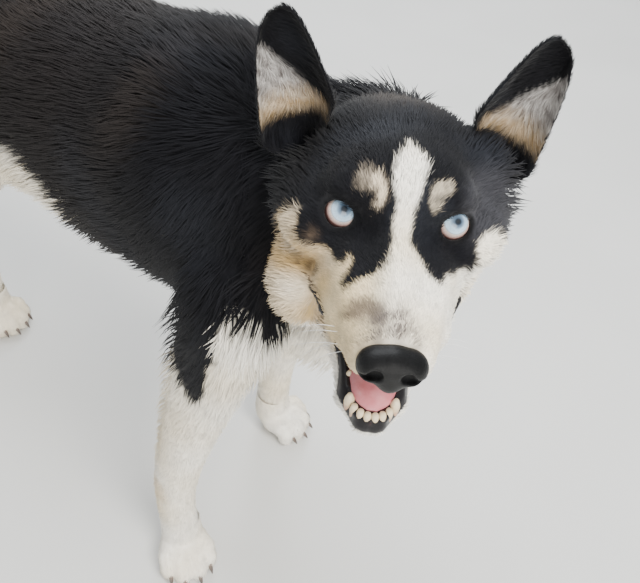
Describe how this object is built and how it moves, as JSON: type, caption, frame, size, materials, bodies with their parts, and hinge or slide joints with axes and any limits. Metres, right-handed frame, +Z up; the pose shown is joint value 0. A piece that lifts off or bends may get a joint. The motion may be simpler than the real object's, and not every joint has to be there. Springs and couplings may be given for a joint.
{
  "type": "siberian husky",
  "caption": "Life-size standing husky with its head turned and its mouth open, a still figure that rests on its paws.",
  "frame": {"origin": "on the floor, under the middle of the box that holds the whole dog", "axes": "+Z up, the body faces -Y, and the dog's left side is +X"},
  "size_m": [0.3046, 0.829, 0.7454],
  "materials": {
    "dark_coat": "thick black outer coat with a dark brown sheen",
    "light_coat": "white to cream coat",
    "face_coat": "short fur, a black mask on white and tan",
    "nose_leather": "moist black leather",
    "tongue_skin": "wet pink skin",
    "eye": "wet ice-blue eye"
  },
  "bodies": {
    "root": {"torso": "dark_coat", "neck": "dark_coat", "head": "face_coat", "nose": "nose_leather", "jaw": "face_coat", "tongue": "tongue_skin", "ear_L": "dark_coat", "ear_R": "dark_coat", "eye_L": "eye", "eye_R": "eye", "leg_fore_L": "light_coat", "leg_fore_R": "light_coat", "thigh_L": "light_coat", "thigh_R": "light_coat", "leg_hind_L": "light_coat", "leg_hind_R": "light_coat", "paw_fore_L": "light_coat", "paw_fore_R": "light_coat", "paw_hind_L": "light_coat", "paw_hind_R": "light_coat", "tail": "dark_coat"}
  },
  "joints": []
}
